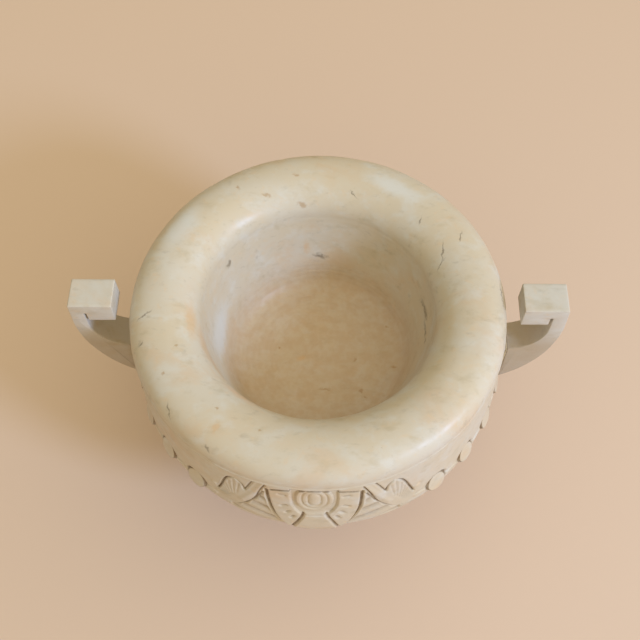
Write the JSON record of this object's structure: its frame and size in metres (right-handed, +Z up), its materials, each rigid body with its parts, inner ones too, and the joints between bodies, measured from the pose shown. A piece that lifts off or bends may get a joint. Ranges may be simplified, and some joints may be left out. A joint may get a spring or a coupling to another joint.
{
  "type": "marble urn",
  "caption": "Wide marble urn with a thick rolled rim, turned stem and round foot, carved festoon, and a bent side handle with a square block at each side.",
  "frame": {"origin": "on the ground under the turning axis, at the middle of the foot's underside", "axes": "+Z up along the turning axis, +X to the right handle, +Y from the carved front to the back"},
  "size_m": [0.4718, 0.3744, 0.277],
  "materials": {
    "carved_marble": "honed ivory marble, worn, with grey clouds and tan stains",
    "turned_marble": "turned and honed ivory marble",
    "lime_mortar": "dry sandy lime mortar",
    "resin_adhesive": "yellowed stone adhesive",
    "bronze": "dull brown bronze"
  },
  "bodies": {
    "root": {"foot": "turned_marble", "foot_bedding": "lime_mortar", "stem": "turned_marble", "bowl_bedding": "lime_mortar", "bowl": "carved_marble", "centre_rod": "bronze", "rod_washer": "bronze", "rod_nut": "bronze", "handle_left": "carved_marble", "handle_left_bedding": "resin_adhesive", "handle_left_dowel_upper": "bronze", "handle_left_dowel_lower": "bronze", "handle_right": "carved_marble", "handle_right_bedding": "resin_adhesive", "handle_right_dowel_upper": "bronze", "handle_right_dowel_lower": "bronze"}
  },
  "joints": []
}
